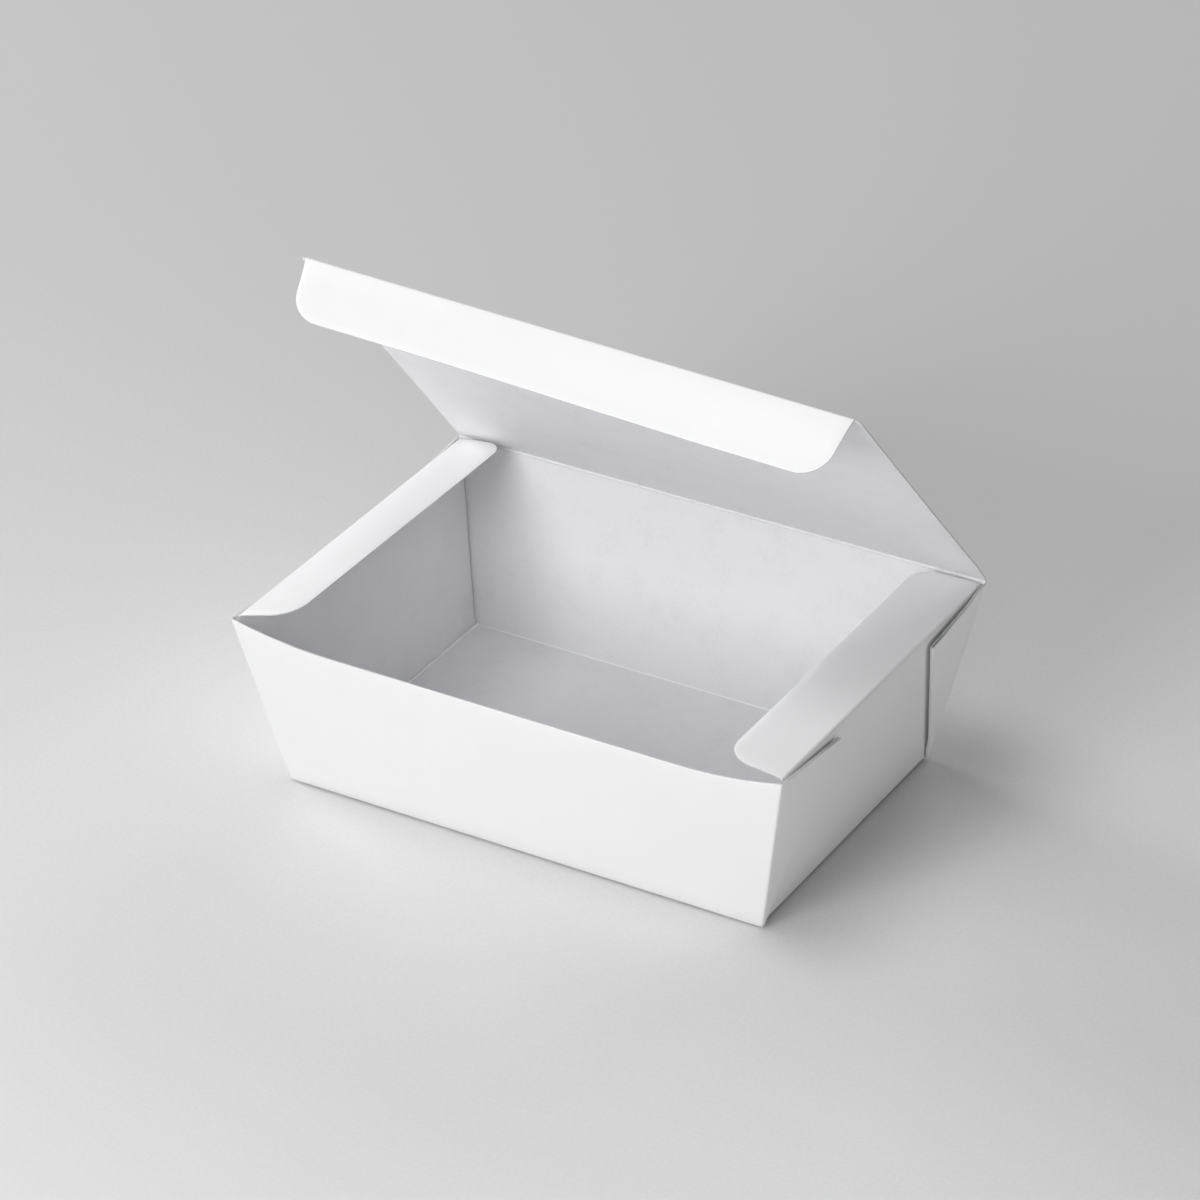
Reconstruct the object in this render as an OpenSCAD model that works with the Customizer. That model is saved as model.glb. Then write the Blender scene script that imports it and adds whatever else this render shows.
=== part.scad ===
// Takeaway box with a hinged lid, folded and glued from one sheet of white paperboard.
// The origin is the middle of the base's underside. +X runs to the right, -Y to the
// front wall and +Z up. The corner webs are folded flat against the end walls' outsides,
// so a corner is three boards thick, and the outer sizes are taken over those layers.

/* [Board] */
// Thickness of the paperboard
board = 0.45; // [0.35:0.05:0.6]
// How far a scored crease stands proud of the board
crease_proud = 0.03; // [0.02:0.01:0.06]
// Air between a panel's edge and the flap that folds from it
fold_gap = 0.17; // [0.12:0.01:0.3]
// Radius of the raised score lines round the floor
floor_score_r = 0.4; // [0.3:0.05:0.6]

/* [Tray] */
// Left to right across the rim
top_w = 197; // [170:1:230]
// Front to back across the rim
top_d = 139; // [125:1:160]
// Left to right across the base
bottom_w = 172.5; // [155:0.5:185]
// Front to back across the base
bottom_d = 114; // [105:0.5:122]
// Height of the rim's corners above the table
height = 63.5; // [50:0.5:90]
// Depth of the dip in the front wall's top edge
dip_depth = 5; // [2:0.5:12]
// Length of the curve at each end of the dip
dip_run = 36; // [20:1:60]

/* [Corner webs] */
// Length of a web's diagonal fold, from the base's corner to its tip
web_len = 65.5; // [40:0.5:67]
// Air between a web's two layers
web_layer_gap = 0.1; // [0.05:0.05:0.3]
// Air between a web and the end wall behind it
web_wall_gap = 0.25; // [0.15:0.05:0.5]

/* [Lid] */
// Angle at which the lid stands open, from shut
lid_angle = 47.5; // [0:0.5:170]
// How far the lid stops short of the rim's outside at each end
lid_side_inset = 0.5; // [0.2:0.1:2]
// Radius of the lid's two front corners
lid_corner_r = 1.5; // [0.5:0.1:3]

/* [Tuck flap] */
// Height of the tuck flap from its fold
tuck_h = 20.5; // [14:0.5:24]
// Angle between the lid's inside and the tuck flap
tuck_angle = 97; // [79:1:150]
// Taper of the tuck flap's ends
tuck_taper = 11; // [8:0.5:16]
// Radius of the tuck flap's two free corners
tuck_corner_r = 11; // [5:0.5:13]
// Clearance between the shut tuck flap and the walls round it
tuck_clear = 0.25; // [0.2:0.05:0.6]

/* [Side flaps] */
// Width of a side flap from its fold
flap_w = 20.5; // [12:0.5:26]
// How far the left flap stands up from flat
left_flap_angle = 15; // [0:0.5:16]
// How far the right flap stands up from flat
right_flap_angle = 5.5; // [0:0.5:16]
// Room for the tuck flap between a side flap's front end and the rim
tuck_room = 3; // [2.9:0.1:6]
// Radius of a side flap's front corner
flap_front_r = 10; // [5:0.5:11]
// Radius of a side flap's back corner
flap_back_r = 8; // [4:0.5:11]
// Slant of a side flap's back end, which keeps it under the opening lid
flap_back_slant = 12; // [12:0.5:25]
// Clearance between the side flaps, the shut lid and the corner folds
flap_clear = 0.25; // [0.2:0.05:0.6]

/* [Hidden] */
$fn = 48;
coated = "#f2f2f3";
uncoated = "#e4e4e8";

// Lean of the end walls and of the front and back walls, from upright
end_lean = atan2((top_w - bottom_w) / 2, height);
side_lean = atan2((top_d - bottom_d) / 2, height);

// A crease's radius, and how far short of its line the carrying panel ends
crease_r = board / 2 + crease_proud;
fold_reach = crease_r + fold_gap;

// Depths from the outer surface of an end: inner web layer, end wall, all three layers
web_inner_depth = board + web_layer_gap;
end_depth = 2 * board + web_layer_gap + web_wall_gap;
end_stack = end_depth + board;
corner_r = end_stack / 2;

// Distance of the outer surfaces from the middle at a height z
function outer_x(z) = bottom_w / 2 + z * tan(end_lean);
function outer_y(z) = bottom_d / 2 + z * tan(side_lean);

// Distance of a corner fold's axis from the middle at a height z
function corner_x(z) = outer_x(z) - corner_r / cos(end_lean);
function corner_y(z) = outer_y(z) - corner_r / cos(side_lean);

// How far up a wall's slope a height z lies, at a depth in from the outer surface
function slope_to(z, lean, depth = 0) = (z - depth * sin(lean)) / cos(lean);
side_slope = slope_to(height, side_lean, board);

// Angles of a corner's edge in the two walls that meet there, and of half the web
side_edge_angle = atan2((top_w - bottom_w) / 2, slope_to(height, side_lean));
end_edge_angle = atan2((top_d - bottom_d) / 2, slope_to(height, end_lean));
half_web_angle = (90 - side_edge_angle - end_edge_angle) / 2;
web_tilt = half_web_angle - end_edge_angle;
web_foot = [bottom_d / 2, 0];
web_tip = web_foot + web_len * [-sin(web_tilt), cos(web_tilt)];
web_fold_start = 0.01;

// Lid's hinge line, in line with the back wall's board
hinge_z = height + fold_reach;
hinge_y = outer_y(hinge_z) - board / 2 / cos(side_lean);

// Tuck flap's fold line: the shut flap lies along the inside of the front wall
tuck_y = hinge_y - (board + tuck_clear) / cos(side_lean);
lid_len = hinge_y + tuck_y;
lid_half = top_w / 2 - lid_side_inset;
tuck_half = outer_x(height) - end_stack / cos(end_lean) - tuck_clear - crease_proud;

// Side flaps' fold line, in line with the end wall's board and under the shut lid
flap_z = hinge_z - board - flap_clear;
flap_depth = end_depth + board / 2;
flap_slope = slope_to(flap_z, end_lean, flap_depth);
flap_x = bottom_w / 2 + flap_slope * sin(end_lean) - flap_depth * cos(end_lean);
flap_back = corner_y(flap_z) - corner_r - crease_proud - flap_clear;
flap_front = top_d / 2 - tuck_room;

// Points of an arc, both ends included
function arc(centre, r, from, to, steps = 12) = [
    for (i = [0:steps])
        let (a = from + (to - from) * i / steps)
        centre + r * [cos(a), sin(a)]
];

// Frame of a wall: x along the wall, y up its slope, z inwards from its outer surface
module wall_frame(half_base, lean)
    translate([0, half_base, 0])
        rotate([90 - lean, 0, 0])
            children();

module back_frame() wall_frame(bottom_d / 2, side_lean) children();
module front_frame() mirror([0, 1, 0]) back_frame() children();
module right_frame() rotate([0, 0, -90]) wall_frame(bottom_w / 2, end_lean) children();

module both_ends() {
    children();
    mirror([1, 0, 0]) children();
}

module front_and_back() {
    children();
    mirror([0, 1, 0]) children();
}

// A flat panel of the board, its outer face at a depth
module panel(depth = 0)
    translate([0, 0, depth])
        linear_extrude(board)
            children();

// A round fold between two points of a wall's frame
module crease(from, to, depth, r) {
    run = to - from;
    translate([from.x, from.y, depth])
        rotate([0, 0, atan2(run.y, run.x)])
            rotate([0, 90, 0])
                cylinder(h = norm(run), r = r);
}

// Outline of a long wall, without its top edge
side_outline_foot = [[-corner_x(0), 0], [corner_x(0), 0]];

module back_outline()
    polygon(concat(side_outline_foot, [
        [corner_x(height), side_slope],
        [-corner_x(height), side_slope]
    ]));

// The dip's end curves are arcs that run level into its floor
dip_r = (dip_run * dip_run + dip_depth * dip_depth) / (2 * dip_depth);
dip_turn = asin(dip_run / dip_r);
dip_centre = [top_w / 2 - dip_run, side_slope - dip_depth + dip_r];
dip_right = arc(dip_centre, dip_r, -90 + dip_turn, -90);
dip_left = [for (i = [len(dip_right) - 1:-1:0]) [-dip_right[i].x, dip_right[i].y]];

module front_outline()
    intersection() {
        back_outline();
        polygon(concat(
            [[-top_w / 2, 0], [top_w / 2, 0]],
            dip_right,
            dip_left
        ));
    }

module end_outline()
    polygon([
        [-corner_y(0), 0],
        [corner_y(0), 0],
        [corner_y(flap_z), flap_slope - fold_reach],
        [-corner_y(flap_z), flap_slope - fold_reach]
    ]);

module web_outline(depth)
    polygon([
        [corner_y(0), 0],
        [corner_y(height), slope_to(height, end_lean, depth + board)],
        web_tip
    ]);

// One corner's web: two layers, joined by the fold along its diagonal
module web()
    right_frame() {
        panel() web_outline(0);
        panel(web_inner_depth) web_outline(web_inner_depth);
        crease(
            web_foot + web_fold_start * (web_tip - web_foot), web_tip,
            board + web_layer_gap / 2,
            board + web_layer_gap / 2 + crease_proud
        );
    }

// The fold round which a long wall turns into its web and the end wall
module corner_fold() {
    foot = [corner_x(-1), corner_y(-1), -1];
    head = [corner_x(height + 1), corner_y(height + 1), height + 1];
    run = head - foot;
    intersection() {
        translate(foot)
            rotate([0, acos(run.z / norm(run)), atan2(run.y, run.x)])
                cylinder(h = norm(run), r = corner_r + crease_proud);
        cube([top_w, top_d, height]);
    }
}

// Raised score lines along the floor's four inside edges
module floor_scores() {
    half_x = corner_x(board);
    half_y = corner_y(board);
    inner_x = outer_x(board) - end_stack / cos(end_lean);
    inner_y = outer_y(board) - board / cos(side_lean);
    front_and_back()
        translate([-half_x, inner_y, board])
            rotate([0, 90, 0])
                cylinder(h = 2 * half_x, r = floor_score_r);
    both_ends()
        translate([inner_x, half_y, board])
            rotate([90, 0, 0])
                cylinder(h = 2 * half_y, r = floor_score_r);
}

module base() {
    half_x = outer_x(0) - end_depth / cos(end_lean);
    translate([-half_x, -bottom_d / 2, 0])
        cube([2 * half_x, bottom_d, board]);
}

module tray()
    color(coated) {
        base();
        floor_scores();
        back_frame() panel() back_outline();
        front_frame() panel() front_outline();
        both_ends() {
            right_frame() panel(end_depth) end_outline();
            front_and_back() {
                web();
                corner_fold();
            }
        }
    }

// Frame of the lid at its open angle: the hinge line is x, and the panel runs to -y
module lid_frame()
    translate([0, hinge_y, hinge_z])
        rotate([-lid_angle, 0, 0])
            children();

// A flap's rounded fold along the x axis, and its panel on the mid-plane
module folded_flap(half_len) {
    translate([-half_len, 0, 0])
        rotate([0, 90, 0])
            cylinder(h = 2 * half_len, r = crease_r);
    translate([0, 0, -board / 2])
        linear_extrude(board)
            children();
}

module lid_outline() {
    free_edge = -lid_len + fold_reach;
    corner = [lid_half - lid_corner_r, free_edge + lid_corner_r];
    polygon(concat(
        [[lid_half, 0], [-lid_half, 0]],
        arc([-corner.x, corner.y], lid_corner_r, 180, 270, 6),
        arc(corner, lid_corner_r, 270, 360, 6)
    ));
}

module lid()
    color(coated)
        lid_frame()
            folded_flap(lid_half)
                lid_outline();

// Drawn with its fold on the x axis and its free edge towards +y
module tuck_outline() {
    corner_line = tuck_h - tuck_corner_r;
    corner = [
        tuck_half - corner_line * tan(tuck_taper) - tuck_corner_r / cos(tuck_taper),
        corner_line
    ];
    polygon(concat(
        [[-tuck_half, 0], [tuck_half, 0]],
        arc(corner, tuck_corner_r, tuck_taper, 90),
        arc([-corner.x, corner.y], tuck_corner_r, 90, 180 - tuck_taper)
    ));
}

module tuck_flap()
    color(coated)
        lid_frame()
            translate([0, -lid_len, 0])
                rotate([-tuck_angle, 0, 0])
                    folded_flap(tuck_half)
                        tuck_outline();

// Drawn with its fold on the y axis and its free edge towards -x
module side_flap_outline() {
    front = [-flap_w + flap_front_r, -flap_front + flap_front_r];
    back_x = -flap_w + flap_back_r;
    back = [
        back_x,
        flap_back + back_x * tan(flap_back_slant) - flap_back_r / cos(flap_back_slant)
    ];
    polygon(concat(
        [[0, flap_back]],
        arc(back, flap_back_r, 90 + flap_back_slant, 180),
        arc(front, flap_front_r, 180, 270),
        [[0, -flap_front]]
    ));
}

// A side flap at its angle above flat, on the right
module side_flap(angle)
    translate([flap_x, 0, flap_z])
        rotate([0, angle, 0]) {
            translate([0, flap_back, 0])
                rotate([90, 0, 0])
                    cylinder(h = flap_back + flap_front, r = crease_r);
            translate([0, 0, -board / 2])
                linear_extrude(board)
                    side_flap_outline();
        }

module right_flap()
    color(uncoated)
        side_flap(right_flap_angle);

module left_flap()
    color(uncoated)
        mirror([1, 0, 0])
            side_flap(left_flap_angle);

tray();
lid();
tuck_flap();
left_flap();
right_flap();
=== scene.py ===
"""Looks of a takeaway box, folded and glued from one sheet of white paperboard."""

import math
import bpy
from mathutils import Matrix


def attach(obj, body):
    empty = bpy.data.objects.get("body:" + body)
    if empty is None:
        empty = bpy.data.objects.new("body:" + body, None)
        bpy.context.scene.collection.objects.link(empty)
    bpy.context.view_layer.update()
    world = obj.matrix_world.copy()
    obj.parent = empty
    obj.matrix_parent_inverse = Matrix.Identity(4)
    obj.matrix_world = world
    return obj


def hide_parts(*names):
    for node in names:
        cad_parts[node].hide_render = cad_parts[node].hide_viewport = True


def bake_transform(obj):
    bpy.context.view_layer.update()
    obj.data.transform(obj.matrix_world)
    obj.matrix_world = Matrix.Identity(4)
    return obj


bl_info = {
    "name": "Folded Takeaway Box",
    "version": (1, 0, 0),
    "blender": (4, 5, 0),
    "location": "View3D > Sidebar > Takeaway Box",
    "description": "Models the folded paperboard of a takeaway box round its CAD frame",
    "category": "Add Mesh",
}

import bmesh
import bpy
from mathutils import Matrix, Vector

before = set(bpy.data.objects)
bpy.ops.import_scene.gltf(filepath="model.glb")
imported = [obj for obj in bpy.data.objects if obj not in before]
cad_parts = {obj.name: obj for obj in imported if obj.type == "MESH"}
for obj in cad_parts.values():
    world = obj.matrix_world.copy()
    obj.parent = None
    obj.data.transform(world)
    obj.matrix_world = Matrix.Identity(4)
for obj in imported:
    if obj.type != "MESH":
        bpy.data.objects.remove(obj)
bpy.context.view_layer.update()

MM = 0.001

# Sizes of the folded box in millimetres and degrees, the same as in the part's source
BOARD = 0.45
TOP_W, TOP_D = 197.0, 139.0
BOTTOM_W, BOTTOM_D = 172.5, 114.0
HEIGHT = 63.5
DIP_DEPTH, DIP_RUN = 5.0, 36.0
WEB_LENGTH = 65.5
WEB_LAYER_GAP, WEB_WALL_GAP = 0.1, 0.25
LID_ANGLE, LID_INSET, LID_CORNER_R = 47.5, 0.5, 1.5
TUCK_H, TUCK_ANGLE, TUCK_TAPER, TUCK_CORNER_R = 20.5, 97.0, 11.0, 11.0
FLAP_W = 20.5
FLAP_ANGLE = {"left": 15.0, "right": 5.5}
FLAP_FRONT_R, FLAP_BACK_R, FLAP_BACK_SLANT = 10.0, 8.0, 12.0
TUCK_ROOM, CLEAR, CREASE_PROUD, FOLD_GAP = 3.0, 0.25, 0.03, 0.17

# Radius of a fold in the middle of the board, width and steps of a softened cut edge,
# and the angles in degrees from which an edge counts as cut and as sharp
FOLD_R = 0.55
SOFT_EDGE, SOFT_STEPS = 0.07, 2
CUT_ANGLE, SHARP_ANGLE = 60, 40

# The bead that scoring leaves inside, beside a fold: its middle, half width and height
BEAD_PLACE, BEAD_HALF, BEAD_HEIGHT = 0.5, 0.38, 0.6
# The share of that height that the bead under the hinge has
HINGE_BEAD = 0.7

# Room between an end wall's side edge and the corner fold, and the height where it is full
SLIT, SLIT_START = 0.8, 1.2

# How far the webs stand off the end walls and their outer layers off the inner ones,
# each within a share of the web's turn or a stretch of its length from the foot
FRONT_WEB_STAND, FRONT_WEB_SPREAD = 0.55, 0.2
FRONT_STAND_TURN, FRONT_STAND_RISE = 0.08, (8, 50)
BACK_WEB_STAND, BACK_WEB_SPREAD = 0.85, 0.4
BACK_STAND_TURN, BACK_STAND_RISE, BACK_SPREAD_RISE = 0.4, (3, 14), (6, 50)
# How much further the outer layer reaches round than the inner one
LAYER_STEP = math.radians(1.2)

# Swell of the long walls, and lift of the base's edges, which dies out this far in from
# an edge and this far below the rim
FRONT_SWELL, BACK_SWELL = 0.35, 0.25
BASE_LIFT, LIFT_INSIDE, LIFT_BELOW_RIM = 0.6, 35, 6

# The lid's twist at its front: lift on the left, drop on the right, sway to the left,
# and the share by which the lid rises more steeply at its hinge
LEFT_LIFT, RIGHT_DROP, CORNER_SWAY, LID_CURVE = 4.75, 0.4, 2.1, 0.2
# The push of the right side flap: its height, where it starts and is full to the right,
# and the lengths over which it rises from the hinge and dies out
PUSH, PUSH_ACROSS, PUSH_RISE, PUSH_FALL = 0.9, (66, 84), 7, 38

# The tuck flap's twist inwards at its right and set inwards at its left, each with the
# stretch across over which it grows, and the pull of its left end towards the middle
TUCK_TWIST, TUCK_TWIST_ACROSS = 3.1, (-75, 70)
TUCK_SET, TUCK_SET_ACROSS, TUCK_SET_DOWN = 0.55, (20, 80), 5
TUCK_PULL, TUCK_PULL_START = 0.7, 45

FLAP_BOW = {
    "left": {"arch": 0.35, "twist": -0.5, "crown": 0.0},
    "right": {"arch": 0.3, "twist": 0.0, "crown": -0.3},
}

# How finely the board is modelled: spacing of grid lines, counts of rows and columns,
# places of the lines beside a fold, and steps of each fold
PANEL_GRID, FLOOR_GRID, WALL_GRID, TUCK_GRID = 4.5, 4.5, 4, 2.5
WALL_COLUMNS, WALL_ROUNDS, FRONT_ROWS, END_ROWS = 32, 6, 18, 14
BEAD_ROWS = [2.4, 1.5, 1.0, 0.85, 0.7, 0.55, 0.4, 0.25, 0.1, 0.0]
FLAP_ROWS = [0.6, 1.4, 2.6]
FLAP_GRID_START, FLAP_GRID = 4.5, 2.7
FIRST_ROW, LID_FIRST_ROW = 0.8, 0.7
FLOOR_STEPS, END_STEPS, CORNER_STEPS = 6, 7, 7
FAN_STEPS, DIAGONAL_STEPS, LAYER_STEPS, SIDE_STEPS = 8, 8, 6, 6
HINGE_STEPS, TUCK_STEPS, FLAP_STEPS, ROUND_STEPS = 6, 8, 8, 10
# Places nearer than this are one
SAME = 0.002

# Material slots of every piece after the outside's, and the one more that the floor has
INSIDE, CUT, CREASE = 1, 2, 3

# The stage, in metres: its floor, with the colours in front and at the back, its lamps
# and its camera, whose sensor is in millimetres
FLOOR_SIZE = 12
# The floor's change from the front colour to the back one is painted light falloff
FLOOR_FRONT, FLOOR_BACK = "#e2e2e2", "#d3d3d3"
LAMP_TARGET = (0, 0, 0.05)
# Degrees round to the right of the front, degrees up, metres away, metres wide, watts
LAMPS = {
    "left_window": (-100, 12, 2.2, 1.0, 31.0),
    "front_box": (-8, 25, 1.4, 0.6, 9.7),
    "front_right_box": (25, 25, 2.2, 1.0, 6.0),
    "high_front_box": (-25, 42, 2.2, 1.0, 3.8),
    "high_left_box": (-50, 72, 2.2, 1.1, 14.5),
    "top_box": (0, 88, 3.5, 3.0, 6.5),
    "back_box": (180, 35, 2.2, 1.2, 10.0),
    "low_right_fill": (100, 3.5, 2.2, 0.25, 6.2),
    "high_right_box": (90, 45, 2.2, 1.2, 0.9),
}
CAMERA_PLACE = Vector((704.72, -1235.22, 895.71)) * MM
CAMERA_SENSOR, CAMERA_REACH = 36, 50


def linear(hex_colour):
    """An sRGB hex colour as linear RGBA."""
    values = [int(hex_colour[i:i + 2], 16) / 255 for i in (1, 3, 5)]
    return tuple(
        v / 12.92 if v <= 0.04045 else ((v + 0.055) / 1.055) ** 2.4 for v in values
    ) + (1.0,)


class BoardSettings(bpy.types.PropertyGroup):
    """The paperboard and its finishes"""

    thickness: bpy.props.FloatProperty(
        name="Board",
        description="Thickness of the paperboard",
        default=BOARD * MM,
        min=0.0003,
        max=0.0007,
        unit="LENGTH",
    )
    coated: bpy.props.FloatVectorProperty(
        name="Coated side",
        description="Colour of the clay-coated outside, as linear light",
        default=linear("#f2f2f3")[:3],
        subtype="COLOR",
        min=0.0,
        max=1.0,
    )
    uncoated: bpy.props.FloatVectorProperty(
        name="Uncoated side",
        description="Colour of the uncoated inside, as linear light",
        default=linear("#eeeef0")[:3],
        subtype="COLOR",
        min=0.0,
        max=1.0,
    )


class StageSettings(bpy.types.PropertyGroup):
    """The lamps and the camera"""

    azimuth: bpy.props.FloatProperty(
        name="Azimuth",
        description="How far the camera stands round to the right of the front",
        default=math.radians(29.847),
        subtype="ANGLE",
    )
    elevation: bpy.props.FloatProperty(
        name="Elevation",
        description="How far the camera looks down",
        default=math.radians(30.339),
        subtype="ANGLE",
    )
    lens: bpy.props.FloatProperty(
        name="Lens",
        description="Focal length on a 36 mm sensor",
        default=156.125,
        subtype="DISTANCE_CAMERA",
    )
    lamp_level: bpy.props.FloatProperty(
        name="Lamp level",
        description="Share of the lamps' full level",
        default=1.0,
        min=0.0,
        max=2.0,
        subtype="FACTOR",
    )


# Sizes that follow from those above, in millimetres and radians

HALF = BOARD / 2
END_LEAN = math.atan2((TOP_W - BOTTOM_W) / 2, HEIGHT)
SIDE_LEAN = math.atan2((TOP_D - BOTTOM_D) / 2, HEIGHT)
FOLD_REACH = HALF + CREASE_PROUD + FOLD_GAP
WEB_IN = BOARD + WEB_LAYER_GAP
END_DEPTH = 2 * BOARD + WEB_LAYER_GAP + WEB_WALL_GAP
END_STACK = END_DEPTH + BOARD
CORNER_R = END_STACK / 2
END_MID = END_DEPTH + HALF
LAYER_R = (END_MID - WEB_IN - HALF) / 2

HINGE_Z = HEIGHT + FOLD_REACH
HINGE_Y = BOTTOM_D / 2 + HINGE_Z * math.tan(SIDE_LEAN) - HALF / math.cos(SIDE_LEAN)
LID_LEN = 2 * HINGE_Y - (BOARD + CLEAR) / math.cos(SIDE_LEAN)
LID_HALF = TOP_W / 2 - LID_INSET
TUCK_HALF = TOP_W / 2 - END_STACK / math.cos(END_LEAN) - CLEAR - CREASE_PROUD

FLAP_Z = HINGE_Z - BOARD - CLEAR
FLAP_SLOPE = (FLAP_Z - END_MID * math.sin(END_LEAN)) / math.cos(END_LEAN)
FLAP_X = BOTTOM_W / 2 + FLAP_SLOPE * math.sin(END_LEAN) - END_MID * math.cos(END_LEAN)
FLAP_FRONT = TOP_D / 2 - TUCK_ROOM


def corner_x(z):
    """Distance of a corner fold's axis from the middle, left to right."""
    return BOTTOM_W / 2 + z * math.tan(END_LEAN) - CORNER_R / math.cos(END_LEAN)


def corner_y(z):
    """Distance of a corner fold's axis from the middle, front to back."""
    return BOTTOM_D / 2 + z * math.tan(SIDE_LEAN) - CORNER_R / math.cos(SIDE_LEAN)


FLAP_BACK = corner_y(FLAP_Z) - CORNER_R - CREASE_PROUD - CLEAR

FLOOR_TURN = math.pi / 2 - SIDE_LEAN
END_FOLD_TURN = math.pi / 2 - END_LEAN
FLOOR_TANGENT = FOLD_R * math.tan(FLOOR_TURN / 2)
END_TANGENT = FOLD_R * math.tan(END_FOLD_TURN / 2)
CORNER_TURN = math.acos(math.sin(END_LEAN) * math.sin(SIDE_LEAN))
CORNER_FOOT = Vector((corner_x(0), -corner_y(0), 0))
CORNER_HEAD = Vector((corner_x(HEIGHT), -corner_y(HEIGHT), HEIGHT))
END_NORMAL = Vector((math.cos(END_LEAN), 0, -math.sin(END_LEAN)))


def middle_at(half_base, lean, depth):
    """Where a wall's board middle meets the floor's, as a distance from the middle."""
    return half_base + HALF * math.tan(lean) - depth / math.cos(lean)


FLOOR_Y = middle_at(BOTTOM_D / 2, SIDE_LEAN, HALF) - FLOOR_TANGENT
FLOOR_X = middle_at(BOTTOM_W / 2, END_LEAN, END_MID) - END_TANGENT
HINGE_SLOPE = (HINGE_Z - HALF * math.sin(SIDE_LEAN)) / math.cos(SIDE_LEAN)
HINGE_TURN = math.pi / 2 - math.radians(LID_ANGLE) + SIDE_LEAN
HINGE_TANGENT = FOLD_R * math.tan(HINGE_TURN / 2)
FLAP_TURN = {
    side: math.pi / 2 + END_LEAN - math.radians(angle)
    for side, angle in FLAP_ANGLE.items()
}
FLAP_TANGENT = {side: FOLD_R * math.tan(turn / 2) for side, turn in FLAP_TURN.items()}
END_TOP = FLAP_SLOPE - max(FLAP_TANGENT.values())

DIP_R = (DIP_RUN ** 2 + DIP_DEPTH ** 2) / (2 * DIP_DEPTH)
RIM_SLOPE = (HEIGHT - BOARD * math.sin(SIDE_LEAN)) / math.cos(SIDE_LEAN)

WEB_FOOT_Y = -corner_y(0)
SIDE_FLARE = math.atan2((TOP_D - BOTTOM_D) / 2, HEIGHT / math.cos(END_LEAN))
END_FLARE = math.atan2((TOP_W - BOTTOM_W) / 2, HEIGHT / math.cos(SIDE_LEAN))
WEB_TILT = (math.pi / 2 - END_FLARE - SIDE_FLARE) / 2 - SIDE_FLARE
WEB_TIP = (
    -BOTTOM_D / 2 + WEB_LENGTH * math.sin(WEB_TILT),
    WEB_LENGTH * math.cos(WEB_TILT),
)
WEB_DIAGONAL = math.atan2(WEB_TIP[0] - WEB_FOOT_Y, WEB_TIP[1])

LID_SIN, LID_COS = math.sin(math.radians(LID_ANGLE)), math.cos(math.radians(LID_ANGLE))
HINGE = Vector((0, HINGE_Y, HINGE_Z))
LID_ALONG = Vector((0, -LID_COS, LID_SIN))
LID_UP = Vector((0, LID_SIN, LID_COS))
TUCK_FOLD = HINGE + LID_ALONG * LID_LEN
TUCK_TURN = math.pi - math.radians(TUCK_ANGLE)
TUCK_TANGENT = FOLD_R * math.tan(TUCK_TURN / 2)
TUCK_TILT = math.radians(TUCK_ANGLE + LID_ANGLE)
TUCK_ALONG = Vector((0, math.cos(TUCK_TILT), -math.sin(TUCK_TILT)))
TUCK_UP = Vector((0, -math.sin(TUCK_TILT), -math.cos(TUCK_TILT)))


def smooth(value, low, high):
    """Smooth step from 0 at low to 1 at high."""
    share = min(max((value - low) / (high - low), 0.0), 1.0)
    return share * share * (3 - 2 * share)


def between(low, high, spacing):
    """Evenly spaced places between two ends, without the ends."""
    count = max(1, round((high - low) / spacing))
    return [low + (high - low) * i / count for i in range(1, count)]


def steps_to(end, coarse):
    """Places from 0 to an end, coarse at first and fine where the bead is."""
    first = end - BEAD_ROWS[0]
    count = round(first / coarse)
    return [i * first / count for i in range(count)] + [end - row for row in BEAD_ROWS]


def wall_point(x, slope, depth):
    """A point of the front wall: along it, up its slope and in from its outside."""
    sine, cosine = math.sin(SIDE_LEAN), math.cos(SIDE_LEAN)
    return Vector((
        x,
        -BOTTOM_D / 2 - slope * sine + depth * cosine,
        slope * cosine + depth * sine,
    ))


def end_point(y, slope, depth):
    """A point of the right end: along it, up its slope and in from its outside."""
    sine, cosine = math.sin(END_LEAN), math.cos(END_LEAN)
    return Vector((
        BOTTOM_W / 2 + slope * sine - depth * cosine,
        y,
        slope * cosine + depth * sine,
    ))


def end_place(co):
    """A point near the right end as its place along, up and in from the outside."""
    from_foot = co.x - BOTTOM_W / 2
    sine, cosine = math.sin(END_LEAN), math.cos(END_LEAN)
    return co.y, from_foot * sine + co.z * cosine, -from_foot * cosine + co.z * sine


def front_top(x):
    """Slope height of the front wall's dipped top edge."""
    past = max(abs(x) - (TOP_W / 2 - DIP_RUN), 0.0)
    return RIM_SLOPE - DIP_DEPTH + DIP_R - math.sqrt(DIP_R ** 2 - past ** 2)


def back_top(x):
    """Slope height at which the back wall turns into the lid's fold, anywhere along."""
    return HINGE_SLOPE - HINGE_TANGENT


def end_side(z):
    """Distance of an end wall's side edge from the middle."""
    low = smooth(z, HALF, SLIT_START)
    return FLOOR_Y + low * (corner_y(z) - SLIT - FLOOR_Y)


def crease_bead(distance):
    """Height of the bead that scoring leaves on the inside, beside a fold."""
    aside = (distance - BEAD_PLACE) / BEAD_HALF
    return BEAD_HEIGHT * max(1 - aside * aside, 0.0) ** 2


# Tools for one sheet of board, modelled in millimetres and scaled down when it is done


def new_grid(name, columns, rows):
    """A flat grid of columns by rows of faces, one millimetre across."""
    bpy.ops.object.select_all(action="DESELECT")
    bpy.ops.mesh.primitive_grid_add(
        x_subdivisions=columns, y_subdivisions=rows, size=1, location=(0, 0, 0)
    )
    sheet = bpy.context.object
    sheet.name = sheet.data.name = name
    return sheet


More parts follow.
